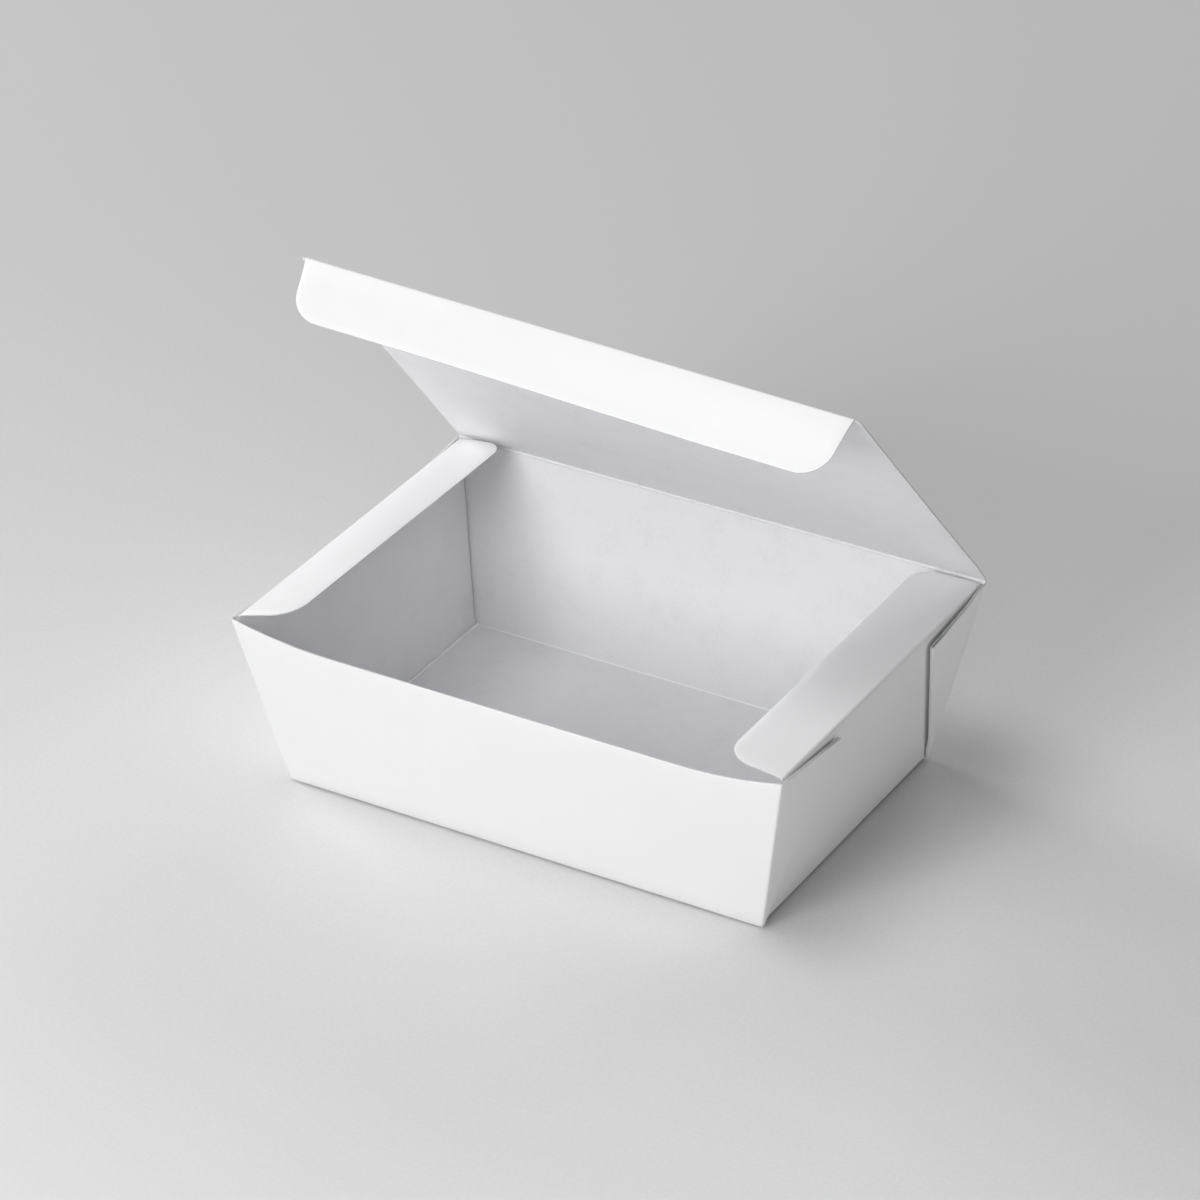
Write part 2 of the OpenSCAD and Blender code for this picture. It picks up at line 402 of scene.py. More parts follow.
def new_panel(name, corners, rounds):
    """A flat panel with four corners, some rounded by a length along their edges."""
    bpy.ops.object.select_all(action="DESELECT")
    bpy.ops.mesh.primitive_plane_add(size=1, location=(0, 0, 0))
    panel = bpy.context.object
    panel.name = panel.data.name = name
    for vertex, corner in zip(panel.data.vertices, corners):
        vertex.co = (corner[0], corner[1], 0)
    for (x, y), length in rounds:
        bpy.ops.object.mode_set(mode="EDIT")
        bpy.ops.mesh.select_mode(type="VERT")
        bpy.ops.mesh.select_all(action="DESELECT")
        bm = bmesh.from_edit_mesh(panel.data)
        for vertex in bm.verts:
            vertex.select = (vertex.co - Vector((x, y, 0))).length < SAME
        bm.select_flush_mode()
        bmesh.update_edit_mesh(panel.data)
        bpy.ops.mesh.bevel(
            offset_type="OFFSET", offset=length, segments=ROUND_STEPS, affect="VERTICES"
        )
        leave_edit()
    return panel


def rule_grid(panel, xs, ys):
    """Cuts the panel along grid lines, so that it can bow."""
    edit_all(panel)
    lines = [((x, 0, 0), (1, 0, 0)) for x in xs] + [((0, y, 0), (0, 1, 0)) for y in ys]
    for place, normal in lines:
        bpy.ops.mesh.select_all(action="SELECT")
        bpy.ops.mesh.bisect(plane_co=place, plane_no=normal)
    leave_edit()


def shape(sheet, move, fresh_from=0):
    """Moves the vertices from a number on, each to where move puts it."""
    for vertex in sheet.data.vertices[fresh_from:]:
        vertex.co = move(vertex.co)


def edit_all(sheet):
    """Enters edit mode on one sheet with all of it selected."""
    bpy.ops.object.select_all(action="DESELECT")
    sheet.select_set(True)
    bpy.context.view_layer.objects.active = sheet
    bpy.ops.object.mode_set(mode="EDIT")
    bpy.ops.mesh.select_all(action="SELECT")


def leave_edit():
    """Goes back to object mode."""
    bpy.ops.object.mode_set(mode="OBJECT")


def pick_edges(sheet, on_line):
    """Enters edit mode with only the edges selected whose two ends lie on a line."""
    edit_all(sheet)
    bpy.ops.mesh.select_mode(type="EDGE")
    bpy.ops.mesh.select_all(action="DESELECT")
    bm = bmesh.from_edit_mesh(sheet.data)
    picked = 0
    for edge in bm.edges:
        if on_line(edge.verts[0].co) and on_line(edge.verts[1].co):
            edge.select = True
            picked += 1
    bm.select_flush_mode()
    bmesh.update_edit_mesh(sheet.data)
    if not picked:
        raise RuntimeError(f"{sheet.name}: no edge lies on the line to fold")


def roll(sheet, on_line, centre, axis, angle, steps):
    """Folds a new strip of board round an axis, and gives its first vertex's number."""
    count = len(sheet.data.vertices)
    pick_edges(sheet, on_line)
    bpy.ops.mesh.spin(
        steps=steps, angle=-angle, center=centre, axis=Vector(axis).normalized()
    )
    leave_edit()
    return count


def extend(sheet, on_line, offset, steps=1):
    """Extends the board by an offset from the edges on a line, in equal steps."""
    pick_edges(sheet, on_line)
    for _ in range(steps):
        bpy.ops.mesh.extrude_region_move(
            TRANSFORM_OT_translate={"value": Vector(offset) / steps}
        )
    leave_edit()


def near(vertices):
    """A test for points that lie where the given vertices do."""
    places = [Vector(v) for v in vertices]
    return lambda co: any((co - p).length < 2 * SAME for p in places)


def mirror(sheet, axes):
    """Mirrors the sheet in the middle planes of the given axes."""
    bpy.context.view_layer.objects.active = sheet
    double = sheet.modifiers.new("Other side", "MIRROR")
    double.use_axis = axes
    double.merge_threshold = SAME / 2
    bpy.ops.object.modifier_apply(modifier=double.name)


def turn_over(sheet):
    """Turns a front sheet into its mirror image at the back, faces outwards."""
    sheet.data.transform(Matrix.Scale(-1, 4, (0, 1, 0)))
    edit_all(sheet)
    bpy.ops.mesh.flip_normals()
    leave_edit()


def merge_and_thicken(sheet, outside_up=True):
    """Closes the sheet's doubles, then gives the board its thickness and finish."""
    edit_all(sheet)
    bpy.ops.mesh.remove_doubles(threshold=SAME)
    if not outside_up:
        bpy.ops.mesh.flip_normals()
    leave_edit()
    sheet.data.transform(Matrix.Scale(MM, 4))
    for finish in (coated_board(), plain_board(), cut_edge()):
        sheet.data.materials.append(finish)
    thick = sheet.modifiers.new("Board thickness", "SOLIDIFY")
    thick.thickness = bpy.context.scene.takeaway_board.thickness
    thick.offset = 0.0
    thick.use_even_offset = True
    thick.use_rim = True
    thick.material_offset = INSIDE
    thick.material_offset_rim = CUT
    bpy.ops.object.modifier_apply(modifier=thick.name)
    soften = sheet.modifiers.new("Soft cut edges", "BEVEL")
    soften.width = SOFT_EDGE * MM
    soften.segments = SOFT_STEPS
    soften.limit_method = "ANGLE"
    soften.angle_limit = math.radians(CUT_ANGLE)
    bpy.ops.object.modifier_apply(modifier=soften.name)
    bpy.ops.object.shade_smooth_by_angle(angle=math.radians(SHARP_ANGLE))


# The tray: two long walls with their webs, and the floor with its two end walls


def front_web_stand(far, turn, layer):
    """How far a front web stands off its end wall, layer 0 inside and 1 outside."""
    off_wall = FRONT_WEB_STAND * smooth(turn, 0, FRONT_STAND_TURN)
    return smooth(far, *FRONT_STAND_RISE) * (off_wall + FRONT_WEB_SPREAD * layer * turn)


def back_web_stand(far, turn, layer):
    """How far a back web stands off its end wall, layer 0 inside and 1 outside."""
    off_wall = BACK_WEB_STAND * smooth(turn, 0, BACK_STAND_TURN)
    apart = BACK_WEB_SPREAD * layer * turn ** 2
    return off_wall * smooth(far, *BACK_STAND_RISE) + apart * smooth(far, *BACK_SPREAD_RISE)


def stand_off(sheet, first, last, stand):
    """Lifts the web's vertices off the end wall, each layer by its own amount."""
    full = WEB_DIAGONAL - math.atan2(
        corner_y(0) - corner_y(HEIGHT), HEIGHT / math.cos(END_LEAN)
    )
    for vertex in sheet.data.vertices[first:last]:
        y, slope, depth = end_place(vertex.co)
        off = y - WEB_FOOT_Y
        turn = 1 - (WEB_DIAGONAL - math.atan2(off, slope)) / full
        layer = 1 - (depth - HALF) / WEB_IN
        lift = stand(math.hypot(off, slope), min(max(turn, 0), 1), min(max(layer, 0), 1))
        vertex.co += END_NORMAL * lift


def straighten_web(sheet, fresh, top_y, top_slope, reach):
    """Pulls a fan's round end in to the straight cut from the corner to the tip."""
    cut_y, cut_slope = WEB_TIP[0] - top_y, WEB_TIP[1] - top_slope
    start = (top_y - WEB_FOOT_Y) * cut_slope - top_slope * cut_y

    def move(co):
        y, slope, depth = end_place(co)
        off = y - WEB_FOOT_Y
        far = math.hypot(off, slope)
        if far < SAME:
            return co
        along = (off / far, slope / far)
        to_cut = start / (along[0] * cut_slope - along[1] * cut_y)
        share = to_cut / reach
        return end_point(WEB_FOOT_Y + off * share, slope * share, depth)

    shape(sheet, move, fresh)


def fold_web(sheet, rows):
    """Folds a corner and both layers of its web, and gives the layers' first vertex."""
    def on_corner(co):
        return abs(co.x - corner_x(co.z)) < SAME

    def last_ring():
        return [vertex.co.copy() for vertex in sheet.data.vertices[-rows:]]

    roll(
        sheet, on_corner, CORNER_FOOT, CORNER_HEAD - CORNER_FOOT, CORNER_TURN,
        CORNER_STEPS,
    )
    ring = last_ring()
    top_y, top_slope, _ = end_place(max(ring, key=lambda co: co.z))
    fan = WEB_DIAGONAL - math.atan2(top_y - WEB_FOOT_Y, top_slope)
    reach = math.hypot(top_y - WEB_FOOT_Y, top_slope)
    outer = roll(
        sheet, near(ring), end_point(WEB_FOOT_Y, 0, HALF), END_NORMAL, -fan, FAN_STEPS
    )
    straighten_web(sheet, outer, top_y, top_slope, reach)

    diagonal = end_point(*WEB_TIP, HALF) - end_point(WEB_FOOT_Y, 0, HALF)
    roll(
        sheet, near(last_ring()), end_point(WEB_FOOT_Y, 0, HALF + WEB_IN / 2),
        diagonal, math.pi, DIAGONAL_STEPS,
    )
    inner = roll(
        sheet, near(last_ring()), end_point(WEB_FOOT_Y, 0, HALF + WEB_IN),
        END_NORMAL, fan - LAYER_STEP, LAYER_STEPS,
    )
    reach = math.hypot(WEB_TIP[0] - WEB_FOOT_Y, WEB_TIP[1])
    straighten_web(sheet, inner, top_y, top_slope, reach)
    return outer


def fold_wall(name, top, rows, bow, stand):
    """The front wall, or the back one drawn at the front, with its folds and webs."""
    sheet = new_grid(name, WALL_COLUMNS, len(rows) - 1)

    def wall(co):
        across = co.x + 0.5
        up = rows[round((co.y + 0.5) * (len(rows) - 1))]
        x, slope = 0.0, 0.0
        # Each follows from the other, and both are steady after a few rounds
        for _ in range(WALL_ROUNDS):
            slope = FLOOR_TANGENT + up * (top(x) - FLOOR_TANGENT)
            height = slope * math.cos(SIDE_LEAN) + HALF * math.sin(SIDE_LEAN)
            x = across * corner_x(height)
        return wall_point(x, slope, HALF)

    def on_foot(co):
        return (co - wall_point(co.x, FLOOR_TANGENT, HALF)).length < SAME

    shape(sheet, wall)
    web_first = fold_web(sheet, len(rows))
    web_last = roll(
        sheet, on_foot, (0, -FLOOR_Y, HALF + FOLD_R), (1, 0, 0), FLOOR_TURN, FLOOR_STEPS
    )
    stand_off(sheet, web_first, web_last, stand)
    mirror(sheet, (True, False, False))
    shape(sheet, bow)
    return sheet


def bowed(swell, bead=0.0):
    """A move that swells a long wall between its folds, and beads its top crease."""
    outward = Vector((0, -math.cos(SIDE_LEAN), -math.sin(SIDE_LEAN)))
    fold_room, foot, bead_end = 0.5, 1, 6

    def move(co):
        inside = corner_x(co.z) - abs(co.x)
        if inside < fold_room or co.z < foot:
            return co
        across = math.cos(math.pi * co.x / (2 * corner_x(co.z)))
        out = swell * math.sin(math.pi * co.z / HEIGHT) * across
        slope = (co.z - HALF * math.sin(SIDE_LEAN)) / math.cos(SIDE_LEAN)
        height = bead * crease_bead(back_top(0) - slope)
        out -= height * smooth(inside, fold_room, bead_end)
        return co + outward * out

    return move


def fold_floor_and_ends(name):
    """The floor and the two end walls, with their side edges turned into the webs."""
    xs, ys = steps_to(FLOOR_X, FLOOR_GRID), steps_to(FLOOR_Y, FLOOR_GRID)
    sheet = new_grid(name, len(xs) - 1, len(ys) - 1)

    def floor(co):
        x = xs[round((co.x + 0.5) * (len(xs) - 1))]
        y = ys[round((co.y + 0.5) * (len(ys) - 1))]
        return Vector((x, y, HALF + crease_bead(min(FLOOR_X - x, FLOOR_Y - y))))

    shape(sheet, floor)
    fresh = roll(
        sheet, lambda co: abs(co.x - FLOOR_X) < SAME,
        (FLOOR_X, 0, HALF + FOLD_R), (0, 1, 0), -END_FOLD_TURN, END_STEPS,
    )
    top = sheet.data.vertices[-1].co.copy()
    up = Vector((math.sin(END_LEAN), 0, math.cos(END_LEAN)))
    extend(
        sheet, lambda co: abs(co.x - top.x) < SAME and abs(co.z - top.z) < SAME,
        up * (END_TOP - END_TANGENT), END_ROWS,
    )
    shape(
        sheet,
        lambda co: Vector((co.x, co.y / FLOOR_Y * end_side(co.z), co.z)),
        fresh,
    )
    foot = end_point(0, END_TANGENT, END_MID - LAYER_R)
    head = end_point(0, END_TOP, END_MID - LAYER_R)
    foot.y = corner_y(end_point(0, END_TANGENT, END_MID).z) - SLIT
    head.y = corner_y(end_point(0, END_TOP, END_MID).z) - SLIT
    roll(
        sheet,
        lambda co: co.z > SLIT_START and abs(co.y - end_side(co.z)) < SAME,
        foot, head - foot, -math.pi, SIDE_STEPS,
    )
    mirror(sheet, (True, True, False))
    return sheet


def settle(co):
    """The base rests on its middle, so its folds stand a little off the table."""
    foot = 1
    inside = min(FLOOR_X - abs(co.x), FLOOR_Y - abs(co.y))
    if inside > 0 and co.z < foot:
        share = smooth(inside, 0, LIFT_INSIDE)
    else:
        share = smooth(co.z, 0, HEIGHT - LIFT_BELOW_RIM)
    return co + Vector((0, 0, BASE_LIFT * (1 - share)))


def paint_crease_highlights(floor):
    """Gives the inside of the beads round the floor a whiter finish, partly the scored
    crease's broken fibres and partly a painted highlight where the bead catches light.
    """
    low = 3
    floor.data.materials.append(scored_crease())
    for face in floor.data.polygons:
        centre = face.center / MM
        distance = min(FLOOR_X - abs(centre.x), FLOOR_Y - abs(centre.y))
        on_bead = abs(distance - BEAD_PLACE) < BEAD_HALF and centre.z < low
        # Faces on the bead take the whiter colour, which is partly a painted highlight
        if on_bead and face.material_index == INSIDE:
            face.material_index = CREASE


# The flaps and the lid, each with the two ends of the fold that joins it to its wall


def fold_side_flap(name, side):
    """A side flap with the fold that joins it to its end wall, on the right."""
    tangent = FLAP_TANGENT[side]
    slant = math.tan(math.radians(FLAP_BACK_SLANT))
    back_inner = FLAP_BACK - FLAP_W * slant
    corners = [
        (tangent, -FLAP_FRONT), (FLAP_W, -FLAP_FRONT),
        (tangent, FLAP_BACK - tangent * slant), (FLAP_W, back_inner),
    ]
    back_offset = FLAP_BACK_R / math.tan(math.radians(90 + FLAP_BACK_SLANT) / 2)
    panel = new_panel(name, corners, [
        ((FLAP_W, -FLAP_FRONT), FLAP_FRONT_R),
        ((FLAP_W, back_inner), back_offset),
    ])
    rule_grid(
        panel,
        [tangent + row for row in FLAP_ROWS] + between(FLAP_GRID_START, FLAP_W, FLAP_GRID),
        between(-FLAP_FRONT, FLAP_BACK, PANEL_GRID),
    )
    angle = math.radians(FLAP_ANGLE[side])
    along = Vector((-math.cos(angle), 0, math.sin(angle)))
    up = Vector((math.sin(angle), 0, math.cos(angle)))
    fold = Vector((FLAP_X, 0, FLAP_Z))
    bow = FLAP_BOW[side]

    def place(co):
        share = (co.x - tangent) / (FLAP_W - tangent)
        arch = bow["arch"] * math.sin(math.pi * share)
        twist = bow["twist"] * smooth(co.y, -FLAP_FRONT, FLAP_BACK) * share
        crown = bow["crown"] * math.cos(math.pi * co.y / (2 * FLAP_FRONT)) * share
        return fold + along * co.x + Vector((0, co.y, 0)) + up * (arch + twist + crown)

    shape(panel, place)
    root = fold + along * tangent

    def on_root(co):
        return abs((co - root).dot(along)) < SAME and abs((co - root).dot(up)) < SAME

    roll(panel, on_root, root - up * FOLD_R, (0, 1, 0), FLAP_TURN[side], FLAP_STEPS)
    foot = panel.data.vertices[-1].co.copy()
    down = Vector((-math.sin(END_LEAN), 0, -math.cos(END_LEAN)))
    spare = max(FLAP_TANGENT.values()) - tangent
    if spare > SAME:
        extend(
            panel,
            lambda co: abs(co.x - foot.x) < SAME and abs(co.z - foot.z) < SAME,
            down * spare,
        )
    return panel, fold + down * max(FLAP_TANGENT.values()), root


def curled(co):
    """The lid's twist, its front left corner's sway and the push of the right flap."""
    from_hinge = min(max((co - HINGE).dot(LID_ALONG), 0.0), LID_LEN)
    share = from_hinge / LID_LEN
    leftward = 0.5 - co.x / (2 * LID_HALF)
    lift = (LEFT_LIFT + RIGHT_DROP) * leftward - RIGHT_DROP
    push = PUSH * smooth(co.x, *PUSH_ACROSS) * (1 - math.exp(-from_hinge / PUSH_RISE))
    push *= math.exp(-from_hinge / PUSH_FALL)
    sway = Vector((-CORNER_SWAY * share ** 3 * max(leftward, 0) ** 2, 0, 0))
    curve = 1 + LID_CURVE - LID_CURVE * share
    return co + LID_UP * (lift * share * curve + push) + sway


def fold_lid(name):
    """The lid's panel with the fold that joins it to the back wall."""
    front = LID_LEN - TUCK_TANGENT
    corners = [
        (-LID_HALF, -front), (LID_HALF, -front),
        (-LID_HALF, -HINGE_TANGENT), (LID_HALF, -HINGE_TANGENT),
    ]
    panel = new_panel(name, corners, [
        ((-LID_HALF, -front), LID_CORNER_R), ((LID_HALF, -front), LID_CORNER_R),
    ])
    rows = between(-front, -HINGE_TANGENT, PANEL_GRID)
    rule_grid(
        panel,
        between(-LID_HALF, LID_HALF, PANEL_GRID),
        [-front + LID_FIRST_ROW] + rows + [-HINGE_TANGENT - FIRST_ROW],
    )
    shape(panel, lambda co: HINGE + Vector((co.x, 0, 0)) - LID_ALONG * co.y)
    root = HINGE + LID_ALONG * HINGE_TANGENT

    def on_root(co):
        return abs((co - root).dot(LID_ALONG)) < SAME

    roll(panel, on_root, root - LID_UP * FOLD_R, (1, 0, 0), -HINGE_TURN, HINGE_STEPS)
    shape(panel, curled)
    wall = Vector((0, math.sin(SIDE_LEAN), math.cos(SIDE_LEAN)))
    return panel, HINGE - wall * HINGE_TANGENT, root


def fold_tuck(name):
    """The tuck flap with the fold that joins it to the lid."""
    taper = math.tan(math.radians(TUCK_TAPER))
    free = TUCK_HALF - TUCK_H * taper
    root_half = TUCK_HALF - TUCK_TANGENT * taper
    corners = [
        (-free, -TUCK_H), (free, -TUCK_H),
        (-root_half, -TUCK_TANGENT), (root_half, -TUCK_TANGENT),
    ]
    offset = TUCK_CORNER_R / math.tan(math.radians(90 + TUCK_TAPER) / 2)
    panel = new_panel(name, corners, [
        ((-free, -TUCK_H), offset), ((free, -TUCK_H), offset),
    ])
    rule_grid(
        panel,
        between(-TUCK_HALF, TUCK_HALF, PANEL_GRID),
        between(-TUCK_H, -TUCK_TANGENT, TUCK_GRID) + [-TUCK_TANGENT - FIRST_ROW],
    )

    def place(co):
        twist = -TUCK_TWIST * smooth(-co.y, TUCK_TANGENT, TUCK_H)
        twist *= smooth(co.x, *TUCK_TWIST_ACROSS)
        low = smooth(-co.y, TUCK_TANGENT, TUCK_SET_DOWN)
        twist -= TUCK_SET * low * smooth(-co.x, *TUCK_SET_ACROSS)
        pull = TUCK_PULL * smooth(-co.x, TUCK_PULL_START, TUCK_HALF)
        across = Vector((co.x + pull, 0, 0))
        return TUCK_FOLD + across - TUCK_ALONG * co.y + TUCK_UP * twist

    shape(panel, place)
    root = TUCK_FOLD + TUCK_ALONG * TUCK_TANGENT

    def on_root(co):
        return abs((co - root).dot(TUCK_ALONG)) < SAME

    roll(panel, on_root, root - TUCK_UP * FOLD_R, (1, 0, 0), -TUCK_TURN, TUCK_STEPS)
    shape(panel, curled)
    return panel, TUCK_FOLD - LID_ALONG * TUCK_TANGENT, root


# Materials. Patterns read Object coordinates, which are metres in the CAD's frame.


def shaded(colour, share):
    """A linear colour with a share of its light."""
    return tuple(value * share for value in colour[:3]) + (1.0,)


def add_node(tree, kind, links=(), inputs=(), **settings):
    """Adds a node with its settings and inputs, then links (output, input name)."""
    node = tree.nodes.new(kind)
    for name, value in settings.items():
        setattr(node, name, value)
    for name, value in dict(inputs).items():
        node.inputs[name].default_value = value
    for output, name in links:
        tree.links.new(output, node.inputs[name])
    return node


def start_material(name, roughness, specular):
    """A new material with its shader, and the point being shaded in metres."""
    material = bpy.data.materials.new(name)
    material.use_nodes = True
    tree = material.node_tree
    shader = tree.nodes["Principled BSDF"]
    shader.inputs["Roughness"].default_value = roughness
    shader.inputs["Specular IOR Level"].default_value = specular
    place = tree.nodes.new("ShaderNodeTexCoord").outputs["Object"]
    return material, tree, shader, place


def fibre_noise(tree, place, size, stretch=(1, 1, 1), detail=3.0):
    """Noise with grains of a size in millimetres, drawn out along an axis."""
    scaled = add_node(
        tree, "ShaderNodeMapping", [(place, "Vector")],
        inputs={"Scale": tuple(1 / MM / size / s for s in stretch)},
    )
    return add_node(
        tree, "ShaderNodeTexNoise", [(scaled.outputs["Vector"], "Vector")],
        inputs={"Scale": 1.0, "Detail": detail, "Roughness": 0.6},
    ).outputs["Fac"]


def tint_between(tree, share, low, high, dark, light):
    """A colour between two linear ones as a noise goes from low to high."""
    ramp = add_node(tree, "ShaderNodeValToRGB", [(share, "Fac")])
    for stop, position, colour in zip(
        ramp.color_ramp.elements, (low, high), (dark, light)
    ):
        stop.position = position
        stop.color = colour
    return ramp.outputs["Color"]


def grain_bump(tree, height, strength, depth, under=None):
    """A bump from a height, as deep as the given millimetres, over another bump."""
    links = [(height, "Height")] + ([(under, "Normal")] if under else [])
    return add_node(
        tree, "ShaderNodeBump", links,
        inputs={"Strength": strength, "Distance": depth * MM},
    ).outputs["Normal"]


def link_shader(tree, shader, outputs):
    """Links outputs to the shader's inputs, each under the input's name."""
    for name, output in outputs.items():
        tree.links.new(output, shader.inputs[name])


def coated_board():
    """Clay-coated, calendered solid bleached board, the outside of the box.

    The eye sees an even, slightly cool white with a soft sheen and a faint tooth.
    """
    name = "clay_coated_board"
    if name in bpy.data.materials:
        return bpy.data.materials[name]
    material, tree, shader, place = start_material(name, roughness=0.5, specular=0.35)
    white = (*bpy.context.scene.takeaway_board.coated, 1.0)
    tooth = fibre_noise(tree, place, size=0.5)
    cloud = fibre_noise(tree, place, size=14.0, detail=2.0)
    rough = add_node(
        tree, "ShaderNodeMapRange", [(tooth, "Value")],
        inputs={"To Min": 0.42, "To Max": 0.56},
    )
    waves = grain_bump(tree, cloud, strength=0.1, depth=0.05)
    shader.inputs["IOR"].default_value = 1.5
    link_shader(tree, shader, {
        "Base Color": tint_between(tree, cloud, 0.3, 0.7, shaded(white, 0.9906), white),
        "Roughness": rough.outputs["Result"],
        "Normal": grain_bump(tree, tooth, strength=0.3, depth=0.012, under=waves),
    })
    return material


def plain_board():
    """Uncoated inside of the board, with its long fibres drawn out by the machine.

    The eye sees a matte white with fine upright streaks; its faint blue is partly the
    board's own tone and partly painted shade, the cool tint of the shade inside the tray.
    """
    name = "uncoated_board"
    if name in bpy.data.materials:
        return bpy.data.materials[name]
    material, tree, shader, place = start_material(name, roughness=0.82, specular=0.25)
    # The faint blue of this colour is partly painted shade, matching the cooler shade
    # inside the tray
    white = (*bpy.context.scene.takeaway_board.uncoated, 1.0)
    streaks = fibre_noise(tree, place, size=0.5, stretch=(1, 1, 3))
    tooth = fibre_noise(tree, place, size=0.4)
    cloud = fibre_noise(tree, place, size=9.0)
    mixed = add_node(
        tree, "ShaderNodeMath", [(streaks, 0), (cloud, 1)], operation="ADD"
    ).outputs["Value"]
    fibres = grain_bump(tree, streaks, strength=0.5, depth=0.013)
    link_shader(tree, shader, {
        "Base Color": tint_between(tree, mixed, 0.7, 1.3, shaded(white, 0.953), white),
        "Normal": grain_bump(tree, tooth, strength=0.5, depth=0.011, under=fibres),
    })
    return material


def cut_edge():
    """Die-cut edge of the board, where its layers of fibre show.

    The eye sees a slightly darker, rough white line along every free edge; the darkness is
    partly the cut fibres and partly painted shade for the dark lines along shaded edges.
    """
    name = "die_cut_edge"
    if name in bpy.data.materials:
        return bpy.data.materials[name]
    material, tree, shader, place = start_material(name, roughness=0.9, specular=0.2)
    layers = fibre_noise(tree, place, size=0.2)
    # Greys darker than the board: partly the cut fibres' own tone, partly painted shade
    # along the edges
    dark, light = linear("#c2c2c2"), linear("#d8d8d7")
    link_shader(tree, shader, {
        "Base Color": tint_between(tree, layers, 0.3, 0.7, dark, light),
        "Normal": grain_bump(tree, layers, strength=0.6, depth=0.03),
    })
    return material


def scored_crease():
    """Uncoated board where scoring has raised and broken its fibres, whitened further by a
    painted highlight of the lit bead.

    The eye sees a thin line that is whiter and rougher than the board beside it; the
    whiteness is partly painted highlight.
    """
    material, tree, shader, place = start_material(
        "scored_crease", roughness=0.9, specular=0.2
    )
    fibres = fibre_noise(tree, place, size=0.3)
    # Near-white tints: partly the scored fibres, partly a painted highlight on the bead's
    # lit side
    dark, light = linear("#fafafb"), linear("#fdfdfe")
    link_shader(tree, shader, {
        "Base Color": tint_between(tree, fibres, 0.3, 0.7, dark, light),
        "Normal": grain_bump(tree, fibres, strength=0.3, depth=0.01),
    })
    return material


def studio_sweep():
    """Matte seamless paper of the studio floor, a pale neutral grey.

    The eye sees a fine tooth, and a tone that darkens slowly towards the back, which is
    painted light falling off away from the lamps.
    """
    material, tree, shader, place = start_material(
        "seamless_paper", roughness=0.95, specular=0.1
    )
    tooth = fibre_noise(tree, place, size=1.3)
    depth = add_node(tree, "ShaderNodeSeparateXYZ", [(place, "Vector")]).outputs["Y"]
    # Painted falloff of light: the tone grows darker with distance towards the back
    per_metre, at_middle, tooth_share = 1.4, 0.4, 0.6
    painted_falloff = add_node(
        tree, "ShaderNodeMath", [(depth, 0)], operation="MULTIPLY_ADD",
        inputs={1: per_metre, 2: at_middle},
    ).outputs["Value"]
    mixed = add_node(
        tree, "ShaderNodeMath", [(tooth, 0), (painted_falloff, 2)], operation="MULTIPLY_ADD",
        inputs={1: tooth_share},
    ).outputs["Value"]
    front, back = linear(FLOOR_FRONT), linear(FLOOR_BACK)
    link_shader(tree, shader, {
        "Base Color": tint_between(tree, mixed, 0.3, 1.3, front, back),
    })
    return material


# The stage's lamps


def add_lamp(name, round_right, up, distance, size, watts):
    """A square soft box aimed at the box, from an angle round to the right and up."""
    lamp = bpy.data.lights.new(name, "AREA")
    lamp.shape = "SQUARE"
    lamp.size = size
    lamp.energy = watts
    thing = bpy.data.objects.new(name, lamp)
    bpy.context.scene.collection.objects.link(thing)
    turn, lift = math.radians(round_right), math.radians(up)
    level = distance * math.cos(lift)
    thing.location = (
        level * math.sin(turn), -level * math.cos(turn), distance * math.sin(lift)
    )
    away = Vector(LAMP_TARGET) - thing.location
    thing.rotation_euler = away.to_track_quat("-Z", "Y").to_euler()


class TAKEAWAY_OT_stage(bpy.types.Operator):
    """Sets the floor, the lamps, a dark sky and the camera"""

    bl_idname = "takeaway.stage"
    bl_label = "Stage"

    def execute(self, context):
        settings = context.scene.takeaway_stage
        context.scene.view_settings.view_transform = "Standard"
        bpy.ops.object.select_all(action="DESELECT")
        bpy.ops.mesh.primitive_plane_add(size=FLOOR_SIZE, location=(0, 0, 0))
        floor = context.object
        floor.name = "floor"
        floor.data.materials.append(studio_sweep())

        for name, (*where, watts) in LAMPS.items():
            add_lamp(name, *where, watts * settings.lamp_level)
        world = bpy.data.worlds.new("studio")
        world.use_nodes = True
        world.node_tree.nodes["Background"].inputs["Strength"].default_value = 0.0
        context.scene.world = world

        camera = bpy.data.cameras.new("camera")
        camera.lens = settings.lens
        camera.sensor_width = CAMERA_SENSOR
        camera.clip_end = CAMERA_REACH
        eye = bpy.data.objects.new("camera", camera)
        context.scene.collection.objects.link(eye)
        eye.location = CAMERA_PLACE
        eye.rotation_euler = (math.pi / 2 - settings.elevation, 0, settings.azimuth)
        context.scene.camera = eye
        return {"FINISHED"}


class TAKEAWAY_OT_tray(bpy.types.Operator):
    """Folds the tray: floor, ends, front and back walls and their corner webs"""

    bl_idname = "takeaway.tray"
    bl_label = "Tray"

    def execute(self, context):
        floor = fold_floor_and_ends("floor_and_ends")
        shape(floor, settle)
        merge_and_thicken(floor, outside_up=False)
        paint_crease_highlights(floor)

        front_rows = [i / FRONT_ROWS for i in range(FRONT_ROWS + 1)]
        front = fold_wall(
            "front_wall_and_webs", front_top, front_rows,
            bowed(FRONT_SWELL), front_web_stand,
        )
        shape(front, settle)
        merge_and_thicken(front)

        tall = back_top(0) - FLOOR_TANGENT
        back_rows = [row / tall for row in steps_to(tall, WALL_GRID)]
        back = fold_wall(
            "back_wall_and_webs", back_top, back_rows,
            bowed(BACK_SWELL, HINGE_BEAD), back_web_stand,
        )
        turn_over(back)
        shape(back, settle)
        merge_and_thicken(back)

        for piece in (floor, front, back):
            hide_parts("tray")
            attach(piece, "tray")
        return {"FINISHED"}


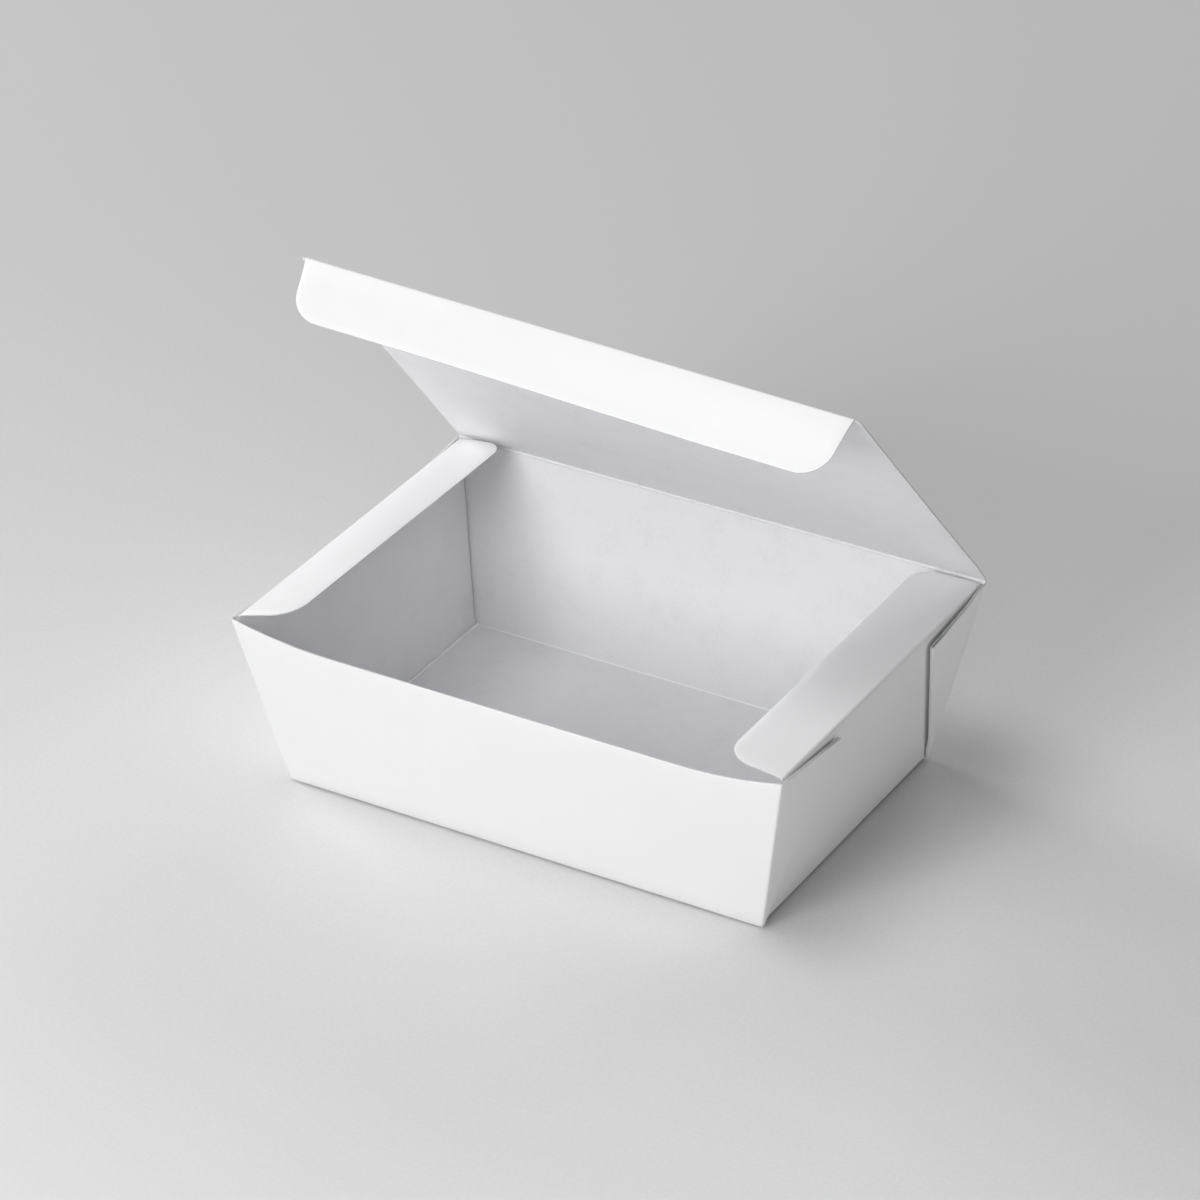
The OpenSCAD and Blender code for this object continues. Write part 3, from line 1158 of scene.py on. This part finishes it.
class TAKEAWAY_OT_side_flaps(bpy.types.Operator):
    """Folds the two side flaps over the ends"""

    bl_idname = "takeaway.side_flaps"
    bl_label = "Side flaps"

    def execute(self, context):
        for side in ("left", "right"):
            flap, start, end = fold_side_flap(f"{side}_flap_board", side)
            if side == "left":
                flap.data.transform(Matrix.Scale(-1, 4, (1, 0, 0)))
                start.x, end.x = -start.x, -end.x
            merge_and_thicken(flap, outside_up=(side == "left"))
            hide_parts(f"{side}_flap")
            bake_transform(flap)
        return {"FINISHED"}


class TAKEAWAY_OT_lid(bpy.types.Operator):
    """Folds the lid from the back wall"""

    bl_idname = "takeaway.lid"
    bl_label = "Lid"

    def execute(self, context):
        lid, start, end = fold_lid("lid_board")
        merge_and_thicken(lid)
        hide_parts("lid")
        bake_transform(lid)
        return {"FINISHED"}


class TAKEAWAY_OT_tuck_flap(bpy.types.Operator):
    """Folds the tuck flap from the lid"""

    bl_idname = "takeaway.tuck_flap"
    bl_label = "Tuck flap"

    def execute(self, context):
        tuck, start, end = fold_tuck("tuck_flap_board")
        merge_and_thicken(tuck)
        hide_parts("tuck_flap")
        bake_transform(tuck)
        return {"FINISHED"}


class TAKEAWAY_PT_panel(bpy.types.Panel):
    """Lists the box's pieces and the stage"""

    bl_idname = "TAKEAWAY_PT_panel"
    bl_label = "Takeaway Box"
    bl_space_type = "VIEW_3D"
    bl_region_type = "UI"
    bl_category = "Takeaway Box"

    def draw(self, context):
        layout = self.layout
        for settings in (context.scene.takeaway_board, context.scene.takeaway_stage):
            for name in settings.__annotations__:
                layout.prop(settings, name)
        for operator in OPERATORS:
            layout.operator(operator.bl_idname)


OPERATORS = (
    TAKEAWAY_OT_tray,
    TAKEAWAY_OT_side_flaps,
    TAKEAWAY_OT_lid,
    TAKEAWAY_OT_tuck_flap,
    TAKEAWAY_OT_stage,
)
CLASSES = (BoardSettings, StageSettings) + OPERATORS + (TAKEAWAY_PT_panel,)


def register():
    """Registers the classes and the two groups of settings."""
    for cls in CLASSES:
        bpy.utils.register_class(cls)
    bpy.types.Scene.takeaway_board = bpy.props.PointerProperty(type=BoardSettings)
    bpy.types.Scene.takeaway_stage = bpy.props.PointerProperty(type=StageSettings)


def unregister():
    """Takes away what register added."""
    del bpy.types.Scene.takeaway_stage
    del bpy.types.Scene.takeaway_board
    for cls in reversed(CLASSES):
        bpy.utils.unregister_class(cls)


def main():
    """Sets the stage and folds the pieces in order."""
    register()
    bpy.ops.takeaway.stage()
    bpy.ops.takeaway.tray()
    bpy.ops.takeaway.side_flaps()
    bpy.ops.takeaway.lid()
    bpy.ops.takeaway.tuck_flap()


if __name__ == "__main__":
    main()
